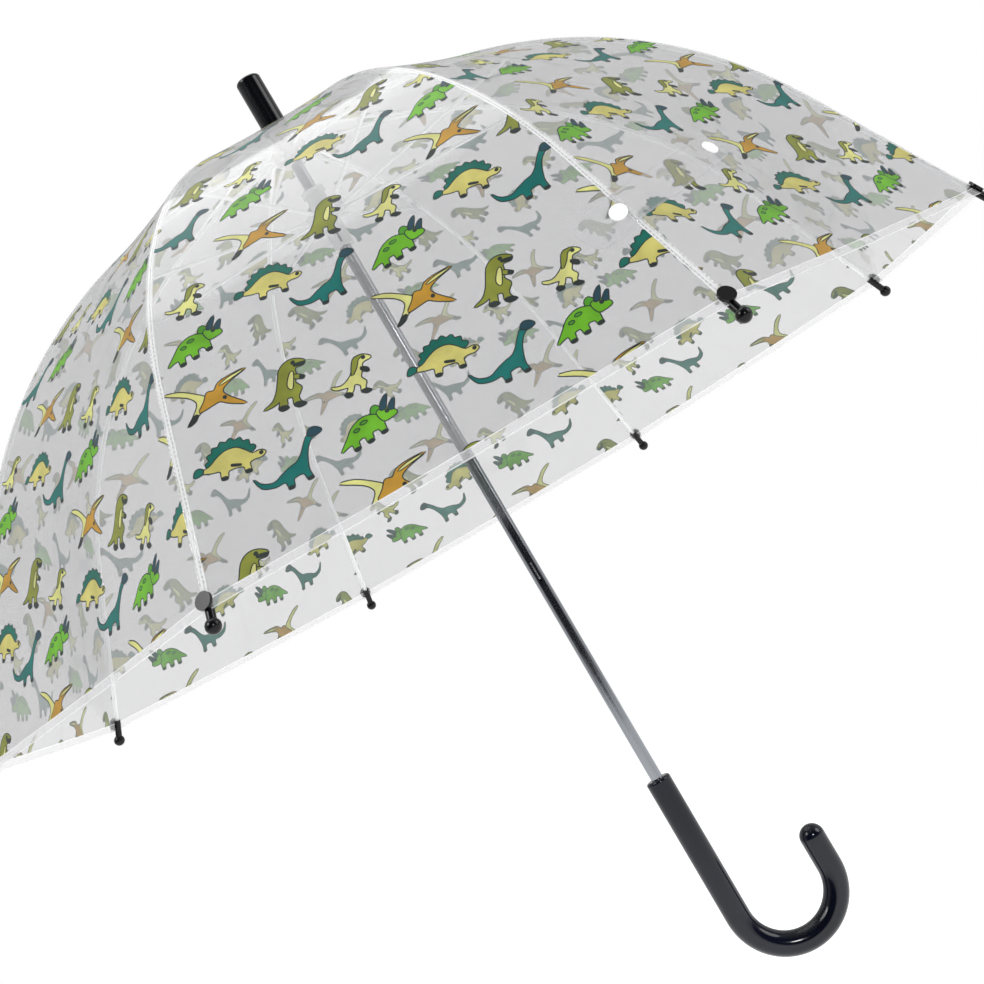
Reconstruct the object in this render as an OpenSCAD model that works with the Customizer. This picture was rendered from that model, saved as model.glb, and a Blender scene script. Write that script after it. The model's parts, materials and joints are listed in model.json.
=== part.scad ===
// Child's clear dome umbrella, open, hanging on its axis: +Z is up the shaft,
// the origin is the middle of the straight grip, and the hook opens towards +Y.

/* [Overall] */
// Radius of the circle through the rib tips
canopy_r = 350; // [300:5:420]
// Height of the rib hinges above the rib tips
rise = 268; // [230:1:320]
// Height of the rib tips above the top of the handle
drop = 200; // [190:1:260]

/* [Shaft] */
// Outer diameter of the steel tube
shaft_d = 8; // [7:0.2:10]
// Wall of the steel tube
shaft_wall = 0.6; // [0.4:0.1:0.8]
// Length of tube held inside the handle
shaft_socket = 60; // [40:1:90]

/* [Handle] */
// Diameter of the moulded handle
grip_d = 16.5; // [14:0.5:22]
// Length of the straight grip
grip_len = 100; // [80:1:140]
// Radius of the hook, to the middle of its thickness
hook_r = 33; // [26:1:45]
// Straight tail of the hook, below its round end
tail_len = 20; // [5:1:40]

/* [Top] */
// Diameter of the ferrule
ferrule_d = 17; // [15:0.5:22]
// Height of the ferrule's straight side
ferrule_len = 35; // [25:1:60]
// Diameter of the washer that clamps the film
washer_d = 18.6; // [17:0.2:26]
// Thickness of that washer
washer_t = 2; // [1:0.2:4]
// Height of the film's clamp above the rib hinges
clamp_rise = 18; // [14:0.5:26]

/* [Ribs] */
// Diameter of a rib rod
rib_d = 2.6; // [2.2:0.1:3.2]
// Diameter of a stretcher rod
stretcher_d = 2.4; // [2:0.1:3]
// Radius of the circle of rib hinges on the notch
notch_ring_r = 10.5; // [10:0.1:13]
// Radius of the circle of stretcher hinges on the runner
runner_ring_r = 12.5; // [12:0.1:15]
// Diameter of the ring wires and rib pins
wire_d = 1.2; // [1:0.1:1.4]
// Distance from a rib to the pin of its stretcher
pin_drop = 4.3; // [4.2:0.1:6]
// Diameter of the ball on a rib tip
tip_ball_d = 7.8; // [6:0.1:10]
// Diameter of the button that holds the film at a rib tip
tip_button_d = 9; // [7:0.1:12]
// Distance from the ball's centre to that button
tip_button_back = 12; // [9:0.5:18]

/* [Runner] */
// Outer diameter of the runner's sleeve
sleeve_d = 13.6; // [13.2:0.1:16]
// Sleeve above the stretcher hinges
sleeve_up = 19; // [10:1:30]
// Sleeve below the stretcher hinges
sleeve_down = 24; // [20:1:24]
// Distance that a catch's tooth stands out from the axis
tooth_reach = 6; // [5.4:0.1:6]

/* [Canopy] */
// Thickness of the film, with its print
film_t = 0.3; // [0.2:0.05:0.5]
// Gap between the ribs and the film
film_gap = 0.3; // [0.2:0.05:0.6]
// Distance from the rib tip back to the hem
hem_back = 7; // [5:0.5:10]
// Width of the closure strap
strap_w = 18; // [12:1:24]
// Diameter of a press stud
stud_d = 9; // [7:0.5:12]

/* [Hidden] */
RIBS = 8;
HALF = 180 / RIBS;
$fn = 64;

// Fits
run_fit = 0.06;   // radial clearance of a pin or wire in an eye
slide_fit = 0.1;  // radial clearance of the runner on the shaft
snug_fit = 0.01;  // radial clearance of pieces pushed together
side_gap = 0.2;   // clearance on each side of a flat piece in a slot
seam_gap = 0.3;   // gap between neighbouring film pieces

// Heights along the shaft
tip_z = grip_len / 2 + drop;
hinge_z = tip_z + rise;
clamp_z = hinge_z + clamp_rise;
ferrule_z = clamp_z + film_t + washer_t;
shaft_end = 25;   // length of tube inside the ferrule

// A rib in its own half plane, as [distance from the axis, height]. A heading is the
// slope of the rib in degrees below the horizontal, and its outward normal is [sin, cos].
N = [notch_ring_r, hinge_z];
J = [0.463 * canopy_r, tip_z + 0.8806 * rise];
T = [canopy_r, tip_z];
function slope(a, b) = atan2(a.y - b.y, b.x - a.x);
function normal(t) = [sin(t), cos(t)];
function along(t) = [cos(t), -sin(t)];
upper_chord = slope(N, J);
lower_chord = slope(J, T);
head_j = upper_chord + 0.36 * (lower_chord - upper_chord);
head_t = lower_chord + 0.43 * (lower_chord - head_j);
head_n = 2 * upper_chord - head_j;
upper_r = norm(J - N) / (2 * sin(head_j - upper_chord));
upper_c = J - upper_r * normal(head_j);
// The lower rib bends at one radius from J, then runs straight to the tip.
turn = normal(head_t) - normal(head_j);
span = T - J;
lower_r = (span.x * sin(head_t) + span.y * cos(head_t)) / (turn.x * sin(head_t) + turn.y * cos(head_t));
lower_c = J - lower_r * normal(head_j);
lower_end = lower_c + lower_r * normal(head_t);

// Stretcher: from the pin below J to the runner's ring
stretcher_rise = 4.5;   // slope of the open stretcher
P = J - pin_drop * normal(head_j);
stretcher_len = (P.x - runner_ring_r) / cos(stretcher_rise);
K = [runner_ring_r, P.y - stretcher_len * sin(stretcher_rise)];

// The folded linkage: rib and stretcher stand upright side by side.
folded_pin_r = 14.5;    // distance of the folded stretcher pin from the axis
fold_rib = acos((folded_pin_r - notch_ring_r) / norm(P - N));
fold_stretcher = acos((folded_pin_r - runner_ring_r) / stretcher_len);
closed_z = hinge_z - norm(P - N) * sin(fold_rib) - stretcher_len * sin(fold_stretcher);

// Eyes, clips and the flexing knuckle
eye_t = 2.4;
eye_r = 1.7;
rib_eye_r = 1.9;
slot_w = max(rib_d, stretcher_d, eye_t) + 0.4;
knuckle_gap = 0.1;
clip_len = 11;
clip_end = 1;
clip_wall = 0.9;
clip_top = 0.8;     // the clip is open on top, under the film
cheek_t = 1;
boss_r = 2.1;

// Catches, in the half plane of azimuth 0
leaf_x = [0.6, 2.6];
catch_pin_x = 1.6;
catch_pin_d = 1;
// The pin's ends lie inside the tube's wall all round.
catch_pin_len = sqrt(pow(shaft_d / 2 - shaft_wall, 2) - pow(catch_pin_x - catch_pin_d / 2, 2))
    + sqrt(pow(shaft_d / 2, 2) - pow(catch_pin_x + catch_pin_d / 2, 2));
catch_eye_r = 1.5;
catch_t = 1;
catch_len = 28;
tooth_h = 11;
tooth_flat = 1.5;
catch_slot_w = catch_t + 2 * side_gap;
top_tooth_z = K.y - sleeve_down - 0.1;
bottom_tooth_z = closed_z - 20;
catch_side = [1, -1];   // the top catch hangs below its tooth, the bottom one stands above

// ---- helpers ----

// Puts children drawn at rib 0's half plane in the place of rib i.
module at_rib(i) {
    rotate([0, 0, HALF + i * 2 * HALF])
        children();
}

// A flat outline in a rib's half plane, t thick across it.
module in_plane(t) {
    rotate([90, 0, 0])
        linear_extrude(height = t, center = true)
            children();
}

// A round rod bent along an arc between two headings.
module bent_rod(c, r, t0, t1, d) {
    translate([c.x, 0, c.y])
        rotate([90, 0, 0])
            rotate([0, 0, 90 - t1])
                rotate_extrude(angle = t1 - t0, $fn = 180)
                    translate([r, 0])
                        circle(d = d, $fn = 32);
}

// A straight round rod that starts at a and runs len in a heading.
module straight_rod(a, t, len, d) {
    translate([a.x, 0, a.y])
        rotate([0, 90 + t, 0])
            cylinder(h = len, d = d, $fn = 32);
}

// A round boss or bore across the half plane.
module cross_pin(a, d, t) {
    translate([a.x, 0, a.y])
        rotate([90, 0, 0])
            cylinder(h = t, d = d, center = true);
}

module ring_wire(r, z, d) {
    translate([0, 0, z])
        rotate_extrude($fn = 120)
            translate([r, 0])
                circle(d = d, $fn = 32);
}

function arc_points(c, r, t0, t1, steps) = [for (k = [0:steps]) c + r * normal(t0 + (t1 - t0) * k / steps)];
function reversed(list) = [for (k = [len(list) - 1:-1:0]) list[k]];

// ---- film outline, at a distance off outside the rib's middle line ----

film_in = rib_d / 2 + film_gap;
clamp_r = 7;            // the film lies flat inside this radius
film_hole_r = shaft_d / 2 + 0.4;

// Heading at which a straight line from point a meets the circle tangentially.
function tangent_heading(a, c, r) = atan2(a.x - c.x, a.y - c.y) + acos(r / norm(a - c));

function upper_line(off, lift) = let (
        a = [clamp_r, clamp_z + lift],
        r = upper_r + off,
        gap = seam_gap / 2 / r * 180 / PI
    ) concat(
        [[film_hole_r, a.y]],
        [a],
        arc_points(upper_c, r, tangent_heading(a, upper_c, r), head_j - gap, 8)
    );
function lower_line(off) = let (r = lower_r + off, gap = seam_gap / 2 / r * 180 / PI) concat(
        arc_points(lower_c, r, head_j + gap, head_t, 20),
        [T + off * normal(head_t) - hem_back * along(head_t)]
    );
function band(inner, outer) = concat(inner, reversed(outer));

// Half a gore: the outline swept straight along the chord between two ribs, and cut at
// the middle of the gore and a hair past the rib, so that the two halves overlap.
module half_gore(outline, gap) {
    reach = 1.2 * canopy_r;
    lap = 0.05;
    rotate([0, 0, HALF])
        intersection() {
            rotate([90, 0, 0])
                linear_extrude(height = canopy_r)
                    polygon([for (p = outline) [p.x * cos(HALF), p.y]]);
            linear_extrude(height = clamp_z + 10)
                polygon([[0, -gap], [reach, -gap], [reach, -reach * tan(HALF) - lap], [0, -gap - lap]]);
        }
}

module rib_sector(outline) {
    for (side = [0, 1])
        mirror([0, side, 0])
            half_gore(outline, seam_gap / 2);
}

// ---- shaft, top and handle ----

module catch_slot(z, up) {
    translate([shaft_d / 2, 0, z - up * tooth_h / 2])
        cube([shaft_d, catch_slot_w, tooth_h + 3], center = true);
}

module shaft_tube() {
    color("gainsboro") {
        difference() {
            translate([0, 0, grip_len / 2 - shaft_socket])
                cylinder(h = ferrule_z + shaft_end - grip_len / 2 + shaft_socket, d = shaft_d);
            translate([0, 0, grip_len / 2 - shaft_socket - 1])
                cylinder(h = ferrule_z + shaft_end - grip_len / 2 + shaft_socket + 2, d = shaft_d - 2 * shaft_wall);
            catch_slot(top_tooth_z, catch_side[0]);
            catch_slot(bottom_tooth_z, catch_side[1]);
        }
        cross_pin([catch_pin_x, top_tooth_z - catch_side[0] * catch_len], catch_pin_d, catch_pin_len);
        cross_pin([catch_pin_x, bottom_tooth_z - catch_side[1] * catch_len], catch_pin_d, catch_pin_len);
    }
}

module ferrule() {
    dome = 2.4;
    color("#16181d")
        difference() {
            translate([0, 0, ferrule_z])
                rotate_extrude($fn = 96)
                    union() {
                        square([ferrule_d / 2, ferrule_len]);
                        square([ferrule_d / 2 - dome, ferrule_len + dome]);
                        translate([ferrule_d / 2 - dome, ferrule_len])
                            intersection() {
                                circle(r = dome, $fn = 48);
                                square(dome);
                            }
                    }
            translate([0, 0, ferrule_z - 1])
                cylinder(h = shaft_end + 2, d = shaft_d + 2 * snug_fit);
        }
}

module canopy_washer() {
    color("#5a5f66")
        translate([0, 0, clamp_z + film_t])
            difference() {
                cylinder(h = washer_t, d = washer_d);
                translate([0, 0, -1])
                    cylinder(h = washer_t + 2, d = shaft_d + 2 * snug_fit);
            }
}

// Slotted disc on a neck, where the ribs hang on a wire ring.
module notch() {
    disc_r = notch_ring_r + 2;
    hub_r = notch_ring_r - rib_eye_r - 0.3;
    neck_r = clamp_r * cos(HALF) - 0.1;
    low = 3.5;
    high = 4;
    color("white", 0.85)
        difference() {
            union() {
                translate([0, 0, hinge_z - low])
                    cylinder(h = low + high, r = disc_r);
                translate([0, 0, hinge_z - low - 4])
                    cylinder(h = 8, r = hub_r);
                translate([0, 0, hinge_z])
                    cylinder(h = clamp_rise, r = neck_r);
            }
            translate([0, 0, hinge_z - 10])
                cylinder(h = clamp_rise + 20, d = shaft_d + 2 * snug_fit);
            for (i = [0:RIBS - 1])
                at_rib(i)
                    translate([hub_r, -slot_w / 2, hinge_z - low - 1])
                        cube([disc_r, slot_w, low + high + 2]);
            ring_wire(notch_ring_r, hinge_z, wire_d + 2 * snug_fit);
        }
}

module notch_wire() {
    color("silver")
        ring_wire(notch_ring_r, hinge_z, wire_d);
}

// One moulded hook: straight grip, half circle and a tail with a round end.
module handle() {
    r = grip_d / 2;
    edge = 2;
    color("#12141f")
        difference() {
            union() {
                translate([0, 0, -grip_len / 2])
                    rotate_extrude($fn = 64) {
                        square([r, grip_len - edge]);
                        square([r - edge, grip_len]);
                        translate([r - edge, grip_len - edge])
                            intersection() {
                                circle(r = edge, $fn = 32);
                                square(edge);
                            }
                    }
                translate([0, hook_r, -grip_len / 2])
                    rotate([90, 0, 90])
                        rotate([0, 0, 180])
                            rotate_extrude(angle = 180, $fn = 128)
                                translate([hook_r, 0])
                                    circle(r = r, $fn = 64);
                translate([0, 2 * hook_r, -grip_len / 2]) {
                    cylinder(h = tail_len, r = r);
                    translate([0, 0, tail_len])
                        sphere(r = r);
                }
            }
            translate([0, 0, grip_len / 2 - shaft_socket])
                cylinder(h = shaft_socket + 1, d = shaft_d + 2 * snug_fit);
        }
}

// ---- catches ----

// Flat steel catch: a leaf with an eye at one end and a sloped tooth at the other.
module catch_plate(z, up) {
    eye_z = -up * catch_len;
    color("silver")
        translate([0, 0, z])
            difference() {
                union() {
                    in_plane(catch_t)
                        polygon([
                            [leaf_x[0], 0], [tooth_reach, 0], [tooth_reach, -up * tooth_flat],
                            [leaf_x[1], -up * tooth_h], [leaf_x[1], eye_z], [leaf_x[0], eye_z]
                        ]);
                    cross_pin([catch_pin_x, eye_z], 2 * catch_eye_r, catch_t);
                }
                cross_pin([catch_pin_x, eye_z], catch_pin_d + 2 * run_fit, catch_t + 2);
            }
}

module top_catch() {
    catch_plate(top_tooth_z, catch_side[0]);
}

module bottom_catch() {
    catch_plate(bottom_tooth_z, catch_side[1]);
}

// ---- runner ----

crown_r = runner_ring_r + 1.6;
crown_h = 3.2;

module crown_slots(extra) {
    for (i = [0:RIBS - 1])
        at_rib(i)
            translate([runner_ring_r - eye_r - 1.5, -slot_w / 2 - extra, K.y - crown_h - 1])
                cube([crown_r, slot_w + 2 * extra, 2 * crown_h + 2]);
}

// Sleeve with a slotted crown. A keyway lets it pass the teeth, and a window takes
// the bottom tooth when the umbrella is closed.
module runner() {
    keyway_w = catch_t + 3 * side_gap;
    keyway_r = tooth_reach + 0.3;
    window_z = bottom_tooth_z - closed_z + K.y + tooth_h / 2;
    lip = 1.2;
    color("white", 0.85)
        difference() {
            union() {
                translate([0, 0, K.y - sleeve_down])
                    cylinder(h = sleeve_down + sleeve_up, d = sleeve_d);
                translate([0, 0, K.y - crown_h])
                    cylinder(h = 2 * crown_h, r = crown_r);
                translate([0, 0, K.y + sleeve_up - 3])
                    cylinder(h = 3, d = sleeve_d + 2 * lip);
            }
            translate([0, 0, K.y - sleeve_down - 1])
                cylinder(h = sleeve_down + sleeve_up + 2, d = shaft_d + 2 * slide_fit);
            translate([0, -keyway_w / 2, K.y - sleeve_down - 1])
                cube([keyway_r, keyway_w, sleeve_down + sleeve_up + 2]);
            translate([sleeve_d / 2, 0, window_z])
                cube([sleeve_d, keyway_w, tooth_h + 3], center = true);
            crown_slots(0);
            ring_wire(runner_ring_r, K.y, wire_d + 2 * snug_fit);
        }
}

// The ring wire is cut back to the teeth, because the stretchers leave it on the way.
module runner_wire() {
    color("silver")
        difference() {
            ring_wire(runner_ring_r, K.y, wire_d);
            crown_slots(0.1);
        }
}

// ---- ribs ----

// Clip that joins rib and stretcher: a sleeve on the rib and two cheeks with a pin.
module clip() {
    sleeve_r = rib_d / 2 + clip_wall;
    gap_y = max(rib_d, eye_t) / 2 + knuckle_gap;
    pin = [0, -pin_drop];
    translate([J.x, 0, J.y])
        rotate([0, head_j, 0]) {
            difference() {
                translate([-clip_len, 0, 0])
                    rotate([0, 90, 0])
                        cylinder(h = clip_len - clip_end, r = sleeve_r, $fn = 32);
                translate([-clip_len - 1, -rib_d, clip_top])
                    cube([clip_len + 2, 2 * rib_d, rib_d]);
            }
            for (side = [-1, 1])
                translate([0, side * (gap_y + cheek_t / 2), 0]) {
                    in_plane(cheek_t)
                        polygon([
                            [2 - clip_len, 0],
                            [-clip_end, 0],
                            pin + boss_r * [cos(25), sin(25)],
                            pin + boss_r * [cos(232), sin(232)]
                        ]);
                    cross_pin(pin, 2 * boss_r, cheek_t);
                }
            cross_pin(pin, wire_d, 2 * gap_y + cheek_t);
        }
}

module rib_upper(i) {
    color("whitesmoke")
        at_rib(i)
            difference() {
                union() {
                    bent_rod(upper_c, upper_r, head_n, head_j, rib_d);
                    cross_pin(N, 2 * rib_eye_r, eye_t);
                    clip();
                }
                cross_pin(N, wire_d + 2 * run_fit + 0.1, eye_t + 2);
                cross_pin(J, rib_d + 2 * knuckle_gap, rib_d + knuckle_gap);
            }
}

module rib_lower(i) {
    color("whitesmoke")
        at_rib(i) {
            cross_pin(J, rib_d, rib_d);
            bent_rod(lower_c, lower_r, head_j, head_t, rib_d);
            straight_rod(lower_end, head_t, norm(T - lower_end), rib_d);
        }
}

// Moulded tip: a ball, a socket on the rib's end and a button through the film.
module rib_tip(i) {
    socket_r = rib_d / 2 + 1;
    socket_len = tip_button_back + 3;
    button_t = 1.6;
    color("#16181d")
        at_rib(i)
            translate([T.x, 0, T.y])
                rotate([0, head_t, 0])
                    difference() {
                        union() {
                            sphere(d = tip_ball_d, $fn = 48);
                            translate([-socket_len, 0, 0])
                                rotate([0, 90, 0])
                                    cylinder(h = socket_len, r = socket_r, $fn = 32);
                            translate([-tip_button_back, 0, 0])
                                cylinder(h = film_out + button_t, r = 1.5);
                            translate([-tip_button_back, 0, film_out + 0.1])
                                cylinder(h = button_t, d = tip_button_d);
                        }
                        translate([-socket_len - 1, 0, 0])
                            rotate([0, 90, 0])
                                cylinder(h = socket_len + 1 + snug_fit, d = rib_d + 2 * snug_fit, $fn = 32);
                    }
}

module stretcher(i) {
    color("whitesmoke")
        at_rib(i)
            difference() {
                union() {
                    straight_rod(K, -stretcher_rise, stretcher_len, stretcher_d);
                    cross_pin(K, 2 * eye_r, eye_t);
                    cross_pin(P, 2 * eye_r, eye_t);
                }
                cross_pin(K, wire_d + 2 * run_fit, eye_t + 2);
                cross_pin(P, wire_d + 2 * run_fit, eye_t + 2);
            }
}

// ---- canopy ----

module canopy_upper(i) {
    color("lightgray", 0.4)
        at_rib(i)
            rib_sector(band(upper_line(film_in, 0), upper_line(film_in + film_t, film_t)));
}

module canopy_lower(i) {
    color("lightgray", 0.4)
        at_rib(i)
            difference() {
                rib_sector(band(lower_line(film_in), lower_line(film_in + film_t)));
                socket_hole();
            }
}

// Room in the film for the tip's socket and button post.
module socket_hole() {
    translate([T.x, 0, T.y])
        rotate([0, head_t, 0])
            translate([-tip_button_back - 4, -3.2, 0])
                cube([tip_button_back, 6.4, 2.4]);
}

// ---- closure strap ----

// The film's outer face at a height h above the tips: heading and radius at a rib.
film_out = film_in + film_t;
function on_arc(h) = tip_z + h > lower_end.y;
function heading_at(h) = on_arc(h) ? acos((tip_z + h - lower_c.y) / (lower_r + film_out)) : head_t;
function radius_at(h) = on_arc(h)
    ? lower_c.x + (lower_r + film_out) * sin(heading_at(h))
    : T.x + film_out / sin(head_t) - h / tan(head_t);

// Places on the canopy are [across from rib 0, above the tips].
strap_z = 96;
strap_a = [-24, 68];
strap_b = [radius_at(strap_z) * cos(HALF) * sin(HALF) - 3, strap_z];
strap_step = strap_b - strap_a;
strap_lift = 0.3;       // gap between the film and the strap
strap_t = 0.5;
stud_in = 20;           // distance from the strap's start to the first stud
stud_out = 9;           // distance from the strap's end to the second stud
stud_t = 2.4;

// Stands children on the film's outer face, dist along the strap's middle line.
module on_film(dist) {
    place = strap_a + strap_step * dist / norm(strap_step);
    side = place.x < 0 ? -1 : 1;
    t = heading_at(place.y);
    gore_x = radius_at(place.y) * cos(HALF);
    rotate([0, 0, side * HALF])
        translate([gore_x, (place.x - side * gore_x * sin(HALF)) / cos(HALF), tip_z + place.y])
            rotate([0, atan2(sin(t), cos(t) * cos(HALF)), 0])
                children();
}

module closure_strap() {
    lift = film_out + strap_lift;
    color("white", 0.5)
        at_rib(0)
            intersection() {
                rib_sector(band(lower_line(lift), lower_line(lift + strap_t)));
                translate([0, strap_a.x, tip_z + strap_a.y])
                    rotate([atan2(strap_step.y, strap_step.x), 0, 0])
                        translate([0, 0, -strap_w / 2])
                            cube([2 * canopy_r, norm(strap_step), strap_w]);
            }
}

module press_studs() {
    color("white")
        at_rib(0)
            for (dist = [stud_in, norm(strap_step) - stud_out])
                on_film(dist)
                    translate([0, 0, strap_lift + strap_t])
                        cylinder(h = stud_t, d = stud_d);
}

// ---- nodes ----

shaft_tube();
ferrule();
canopy_washer();
notch();
notch_wire();
handle();
top_catch();
bottom_catch();
runner();
runner_wire();
for (i = [0:RIBS - 1]) {
    rib_upper(i);
    rib_lower(i);
    rib_tip(i);
    stretcher(i);
    canopy_upper(i);
    canopy_lower(i);
}
closure_strap();
press_studs();
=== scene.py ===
"""A child's clear dome umbrella: printed film, welds, strap and finishes on its CAD frame."""

import json
import math

import bpy
import numpy as np
from mathutils import Matrix, Vector
from mathutils.geometry import delaunay_2d_cdt


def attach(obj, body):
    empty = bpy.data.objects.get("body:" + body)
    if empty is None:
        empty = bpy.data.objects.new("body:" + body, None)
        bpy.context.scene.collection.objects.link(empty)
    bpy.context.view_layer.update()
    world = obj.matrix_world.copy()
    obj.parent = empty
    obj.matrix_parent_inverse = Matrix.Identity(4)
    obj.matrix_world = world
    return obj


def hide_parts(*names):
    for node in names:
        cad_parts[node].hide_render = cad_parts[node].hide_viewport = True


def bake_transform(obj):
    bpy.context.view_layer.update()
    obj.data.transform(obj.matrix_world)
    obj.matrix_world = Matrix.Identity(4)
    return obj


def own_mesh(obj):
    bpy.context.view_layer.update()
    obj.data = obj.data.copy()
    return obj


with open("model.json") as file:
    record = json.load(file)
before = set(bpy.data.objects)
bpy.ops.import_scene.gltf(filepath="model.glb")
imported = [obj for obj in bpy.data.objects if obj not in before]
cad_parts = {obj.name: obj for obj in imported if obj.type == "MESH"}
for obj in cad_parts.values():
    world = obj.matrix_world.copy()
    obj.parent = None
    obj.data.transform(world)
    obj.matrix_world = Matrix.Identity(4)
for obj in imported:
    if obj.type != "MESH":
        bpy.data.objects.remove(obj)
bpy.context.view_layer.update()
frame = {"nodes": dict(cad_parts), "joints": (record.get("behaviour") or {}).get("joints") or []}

# ---- driving sizes, in metres and radians ----

RIBS = 8
HALF = math.pi / RIBS
MM = 0.001

JOINTS = {joint["name"]: joint for joint in frame["joints"]}


def in_half_plane(point):
    """A point of rib 0 as (distance from the shaft, height)."""
    return np.array([math.hypot(point[0], point[1]), point[2]])


HINGE = in_half_plane(JOINTS["rib_fold_0"]["pos_m"])        # where a rib hangs on the notch
KNEE = in_half_plane(JOINTS["rib_flex_0"]["pos_m"])         # where it flexes, at the stretcher
TIP_R = 0.350
RISE = 0.268                        # from the tips up to the hinges
TIP = np.array([TIP_R, HINGE[1] - RISE])                    # middle of a rib tip's ball

RIB_D = 2.6 * MM
FILM_OFF = RIB_D / 2 + 0.55 * MM    # film's outer face above a rib's middle line
FILM_T = 0.18 * MM
CLAMP_RISE = 18 * MM                # film's clamp above the hinges
HOLE_R = 4.4 * MM                   # hole in the film for the shaft
CLAMP_R = 7 * MM
HEM_BACK = 7 * MM                   # from the hem to the middle of a tip's ball
SEAM_W = 2.2 * MM                   # weld beside each rib
HEM_W = 5.5 * MM
BEAD_LIT_W = 0.6 * MM                   # whiter strip along each edge of a weld, partly whiter welded film and partly a painted highlight, on film that is flat there
SAG = 0.03                          # how far a gore hangs in, as a share of its half width
GRID = 8 * MM                       # side of the film's triangles between the figures
PLAIN_TOP = 22 * MM                 # film round the shaft with no print and no welds


# ---- profile of the film at a rib ----


def slope(a, b):
    return math.atan2(a[1] - b[1], b[0] - a[0])


def normal(heading):
    return np.array([math.sin(heading), math.cos(heading)])


def along(heading):
    return np.array([math.cos(heading), -math.sin(heading)])


KNEE_SHARE = 0.36    # how a rib's heading at its knee divides the turn between its chords
TIP_SHARE = 0.43     # how far its heading at the tip goes on past the lower chord

upper_chord = slope(HINGE, KNEE)
lower_chord = slope(KNEE, TIP)
head_knee = upper_chord + KNEE_SHARE * (lower_chord - upper_chord)
head_tip = lower_chord + TIP_SHARE * (lower_chord - head_knee)
upper_r = np.linalg.norm(KNEE - HINGE) / (2 * math.sin(head_knee - upper_chord))
upper_c = KNEE - upper_r * normal(head_knee)
turn = normal(head_tip) - normal(head_knee)
lower_r = (TIP - KNEE) @ normal(head_tip) / (turn @ normal(head_tip))
lower_c = KNEE - lower_r * normal(head_knee)


def film_profile():
    """Points of the film's outer face in a rib's half plane, from the shaft to the hem."""
    clamp = np.array([CLAMP_R, HINGE[1] + CLAMP_RISE + FILM_T])
    out = clamp - upper_c
    radius = upper_r + FILM_OFF
    start = math.atan2(out[0], out[1]) + math.acos(radius / np.linalg.norm(out))
    upper = [upper_c + radius * normal(t) for t in np.linspace(start, head_knee, 60)]
    lower = [lower_c + (lower_r + FILM_OFF) * normal(t) for t in np.linspace(head_knee, head_tip, 90)]
    hem = TIP + FILM_OFF * normal(head_tip) - HEM_BACK * along(head_tip)
    cone = [clamp + (upper[0] - clamp) * k for k in np.linspace(0, 1, 20)[:-1]]
    straight = [lower[-1] + (hem - lower[-1]) * k for k in np.linspace(0, 1, 40)[1:]]
    return np.array([[HOLE_R, clamp[1]]] + cone + upper + lower[1:] + straight)


profile = film_profile()
gore_x = profile[:, 0] * math.cos(HALF)
gore_z = profile[:, 1]
gore_w = profile[:, 0] * math.sin(HALF)
gore_v = np.concatenate([[0], np.cumsum(np.hypot(np.diff(gore_x), np.diff(gore_z)))])
V_END = gore_v[-1]
V_CROWN = 30 * MM    # the film down to here bends over as the ribs fold
V_KNEE = float(np.interp(-(KNEE + FILM_OFF * normal(head_knee))[1], -gore_z, gore_v))


def half_width(v):
    return np.interp(v, gore_v, gore_w)


def on_gore(u, v, lift=0.0):
    """Flat places on a gore, across and down it, as points of a gore that faces +X."""
    step = 2 * MM
    x = np.interp(v, gore_v, gore_x)
    z = np.interp(v, gore_v, gore_z)
    dx = np.interp(v + step, gore_v, gore_x) - np.interp(v - step, gore_v, gore_x)
    dz = np.interp(v + step, gore_v, gore_z) - np.interp(v - step, gore_v, gore_z)
    size = np.hypot(dx, dz)
    w = np.maximum(half_width(v), MM)
    fade = np.clip(v / (90 * MM), 0, 1) * (0.35 + 0.65 * np.clip((V_END - v) / (60 * MM), 0, 1))
    out = lift - SAG * w * np.clip(1 - (u / w) ** 2, 0, 1) * fade
    return np.stack([x - dz / size * out, u, z + dx / size * out], axis=-1)


def gore_normals(u, v):
    step = 1.5 * MM
    across_gore = on_gore(u + step, v) - on_gore(u - step, v)
    down_gore = on_gore(u, v + step) - on_gore(u, v - step)
    out = np.cross(down_gore, across_gore)
    return out / np.linalg.norm(out, axis=-1, keepdims=True)


def turned(points, gore):
    """Points of the gore that faces +X, turned to another gore."""
    a = 2 * HALF * gore
    spin = np.array([[math.cos(a), -math.sin(a), 0], [math.sin(a), math.cos(a), 0], [0, 0, 1]])
    return points @ spin.T


# ---- print: plain figures, each facing +X, in millimetres ----


def curve(*points):
    """A closed smooth outline through points."""
    p = np.array(points, float)
    if (p[:, 0] * np.roll(p[:, 1], -1) - p[:, 1] * np.roll(p[:, 0], -1)).sum() < 0:
        p = p[::-1]
    a, b, c, d = (np.roll(p, k, axis=0) for k in (1, 0, -1, -2))
    steps = []
    for t in (0, 1 / 3, 2 / 3):
        square = (2 * a - 5 * b + 4 * c - d) * t * t
        cube = (3 * b - a - 3 * c + d) * t ** 3
        steps.append(0.5 * (2 * b + (c - a) * t + square + cube))
    return np.stack(steps, axis=1).reshape(-1, 2)


def blob(x, y, rx, ry):
    """An oval spot."""
    return curve(*[(x + rx * math.cos(t), y + ry * math.sin(t)) for t in np.arange(6) * math.pi / 3])


def scallops(x, y, rx, ry, start, end, count, bump):
    """A fan with a row of rounded plates round its top, from one angle to another in degrees."""
    edge = []
    for k in range(2 * count + 1):
        t = math.radians(start + (end - start) * k / (2 * count))
        grow = 1 + bump * (k % 2)
        edge.append((x + rx * grow * math.cos(t), y + ry * grow * math.sin(t)))
    return curve(*edge, (x + rx * 0.3, y - 1), (x - rx * 0.3, y - 1))


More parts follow.
